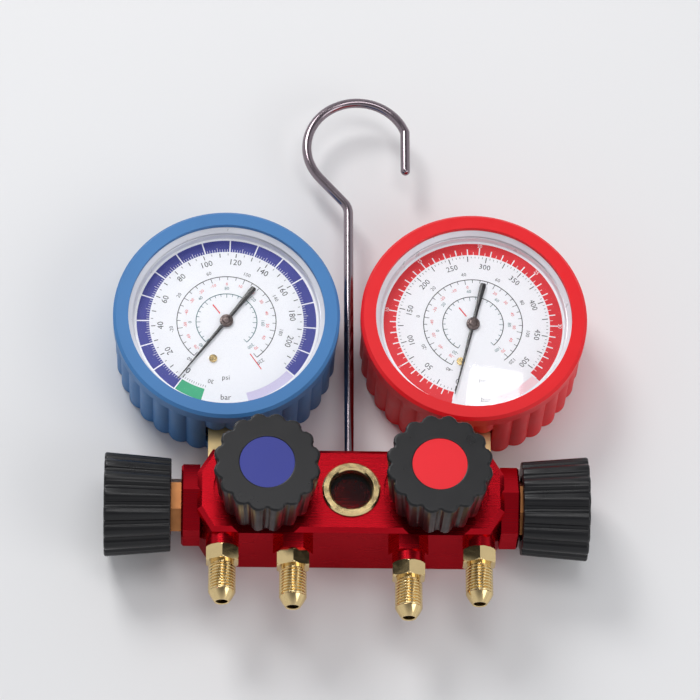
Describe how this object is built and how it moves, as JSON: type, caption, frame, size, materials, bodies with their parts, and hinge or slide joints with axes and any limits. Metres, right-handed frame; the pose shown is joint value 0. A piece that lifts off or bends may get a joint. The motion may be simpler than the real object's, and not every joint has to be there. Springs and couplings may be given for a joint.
{
  "type": "refrigerant manifold gauge",
  "caption": "Service manifold with handwheel valves, flare ports, sight glass, hanging hook and rubber-booted pressure gauges.",
  "frame": {"origin": "centre of the body's back face, under the sight glass", "axes": "+Z out of the dials, +Y towards the hanging hook, +X towards the high side"},
  "size_m": [0.1976, 0.2429, 0.0682],
  "materials": {
    "red_anodised": "gloss",
    "brass": "polished",
    "steel": "polished",
    "black_plastic": "satin",
    "blue_plastic": "gloss",
    "red_plastic": "gloss",
    "blue_rubber": "satin",
    "red_rubber": "satin",
    "black_rubber": "satin",
    "clear_glass": "clear",
    "dial_paint": "satin",
    "black_paint": "satin",
    "bright_steel": "polished"
  },
  "bodies": {
    "manifold": {"manifold_body": "red_anodised", "gallery_plugs": "brass", "sight_glass_bezel": "bright_steel", "sight_glass_lens": "clear_glass", "sight_glass_o_ring": "black_rubber", "hook_grub_screw": "steel", "stem_o_rings": "black_rubber", "gauge_screws": "brass", "low_side_bonnet": "brass", "high_side_bonnet": "brass", "vacuum_bonnet": "brass", "charging_bonnet": "brass", "low_side_port": "brass", "high_side_port": "brass", "vacuum_port": "brass", "charging_port": "brass", "low_side_port_collar": "red_anodised", "high_side_port_collar": "red_anodised", "low_side_gauge_boot": "blue_rubber", "low_side_gauge_case": "bright_steel", "low_side_gauge_bezel": "bright_steel", "low_side_gauge_lens": "clear_glass", "low_side_dial": "dial_paint", "low_side_gauge_socket": "brass", "low_side_bourdon_tube": "brass", "low_side_movement_frame": "brass", "high_side_gauge_boot": "red_rubber", "high_side_gauge_case": "bright_steel", "high_side_gauge_bezel": "bright_steel", "high_side_gauge_lens": "clear_glass", "high_side_dial": "dial_paint", "high_side_gauge_socket": "brass", "high_side_bourdon_tube": "brass", "high_side_movement_frame": "brass"},
    "low_side_valve_plunger": {"low_side_plunger": "brass"},
    "low_side_valve_wheel": {"low_side_stem": "steel", "low_side_handwheel": "black_plastic", "low_side_handwheel_cap": "blue_plastic"},
    "high_side_valve_plunger": {"high_side_plunger": "brass"},
    "high_side_valve_wheel": {"high_side_stem": "steel", "high_side_handwheel": "black_plastic", "high_side_handwheel_cap": "red_plastic"},
    "vacuum_valve_plunger": {"vacuum_plunger": "brass"},
    "vacuum_valve_wheel": {"vacuum_stem": "steel", "vacuum_handwheel": "black_plastic", "vacuum_handwheel_cap": "black_plastic"},
    "charging_valve_plunger": {"charging_plunger": "brass"},
    "charging_valve_wheel": {"charging_stem": "steel", "charging_handwheel": "black_plastic", "charging_handwheel_cap": "black_plastic"},
    "low_side_sector": {"low_side_sector_gear": "brass"},
    "low_side_pointer_shaft": {"low_side_pointer": "black_paint", "low_side_pointer_arbor": "brass"},
    "low_side_connecting_link": {"low_side_link": "brass"},
    "high_side_sector": {"high_side_sector_gear": "brass"},
    "high_side_pointer_shaft": {"high_side_pointer": "black_paint", "high_side_pointer_arbor": "brass"},
    "high_side_connecting_link": {"high_side_link": "brass"},
    "hook": {"hanging_hook": "steel"}
  },
  "joints": [
    {"name": "low_side_plunger_slide", "type": "slide", "parent": "manifold", "child": "low_side_valve_plunger", "axis": [0, 0, 1], "range_m": [-0.003, 0.0015]},
    {"name": "low_side_wheel_turn", "type": "hinge", "parent": "low_side_valve_plunger", "child": "low_side_valve_wheel", "pos_m": [-0.0344, 0, 0.0552], "axis": [0, 0, 1], "range_deg": [-720, 360]},
    {"name": "high_side_plunger_slide", "type": "slide", "parent": "manifold", "child": "high_side_valve_plunger", "axis": [0, 0, 1], "range_m": [-0.003, 0.0015]},
    {"name": "high_side_wheel_turn", "type": "hinge", "parent": "high_side_valve_plunger", "child": "high_side_valve_wheel", "pos_m": [0.0344, 0, 0.0552], "axis": [0, 0, 1], "range_deg": [-720, 360]},
    {"name": "vacuum_plunger_slide", "type": "slide", "parent": "manifold", "child": "vacuum_valve_plunger", "axis": [-1, 0, 0], "range_m": [-0.003, 0.0015]},
    {"name": "vacuum_wheel_turn", "type": "hinge", "parent": "vacuum_valve_plunger", "child": "vacuum_valve_wheel", "pos_m": [-0.0865, 0, 0.0225], "axis": [-1, 0, 0], "range_deg": [-720, 360]},
    {"name": "charging_plunger_slide", "type": "slide", "parent": "manifold", "child": "charging_valve_plunger", "axis": [1, 0, 0], "range_m": [0, 0.0045]},
    {"name": "charging_wheel_turn", "type": "hinge", "parent": "charging_valve_plunger", "child": "charging_valve_wheel", "pos_m": [0.0865, 0, 0.0225], "axis": [1, 0, 0], "range_deg": [0, 1080]},
    {"name": "low_side_sector_turn", "type": "hinge", "parent": "manifold", "child": "low_side_sector", "pos_m": [-0.051, 0.0615, 0.0138], "axis": [0, 0, 1], "range_deg": [-2.6, 38.6], "deforming": ["low_side_bourdon_tube"]},
    {"name": "low_side_pointer_turn", "type": "hinge", "parent": "manifold", "child": "low_side_pointer_shaft", "pos_m": [-0.051, 0.0795, 0.03], "axis": [0, 0, -1], "range_deg": [-20.8, 308.8]},
    {"name": "low_side_link_turn", "type": "hinge", "parent": "low_side_sector", "child": "low_side_connecting_link", "pos_m": [-0.05204, 0.05407, 0.0154], "axis": [0, 0, 1], "range_deg": [-38.6, 2.6]},
    {"name": "high_side_sector_turn", "type": "hinge", "parent": "manifold", "child": "high_side_sector", "pos_m": [0.051, 0.0615, 0.0138], "axis": [0, 0, 1], "range_deg": [0, 37.3], "deforming": ["high_side_bourdon_tube"]},
    {"name": "high_side_pointer_turn", "type": "hinge", "parent": "manifold", "child": "high_side_pointer_shaft", "pos_m": [0.051, 0.0795, 0.03], "axis": [0, 0, -1], "range_deg": [0, 298.4]},
    {"name": "high_side_link_turn", "type": "hinge", "parent": "high_side_sector", "child": "high_side_connecting_link", "pos_m": [0.04996, 0.05407, 0.0154], "axis": [0, 0, 1], "range_deg": [-37.3, 0]},
    {"name": "hook_swivel", "type": "hinge", "parent": "manifold", "child": "hook", "pos_m": [0, 0.018, 0.016], "axis": [0, 1, 0], "continuous": true}
  ],
  "couplings": [
    {"joint": "low_side_plunger_slide", "follows": "low_side_wheel_turn", "m_per_rad": 0.00023873},
    {"joint": "high_side_plunger_slide", "follows": "high_side_wheel_turn", "m_per_rad": 0.00023873},
    {"joint": "vacuum_plunger_slide", "follows": "vacuum_wheel_turn", "m_per_rad": 0.00023873},
    {"joint": "charging_plunger_slide", "follows": "charging_wheel_turn", "m_per_rad": 0.00023873},
    {"joint": "low_side_pointer_turn", "follows": "low_side_sector_turn", "ratio": 8},
    {"joint": "low_side_link_turn", "follows": "low_side_sector_turn", "ratio": -1},
    {"joint": "high_side_pointer_turn", "follows": "high_side_sector_turn", "ratio": 8},
    {"joint": "high_side_link_turn", "follows": "high_side_sector_turn", "ratio": -1}
  ]
}
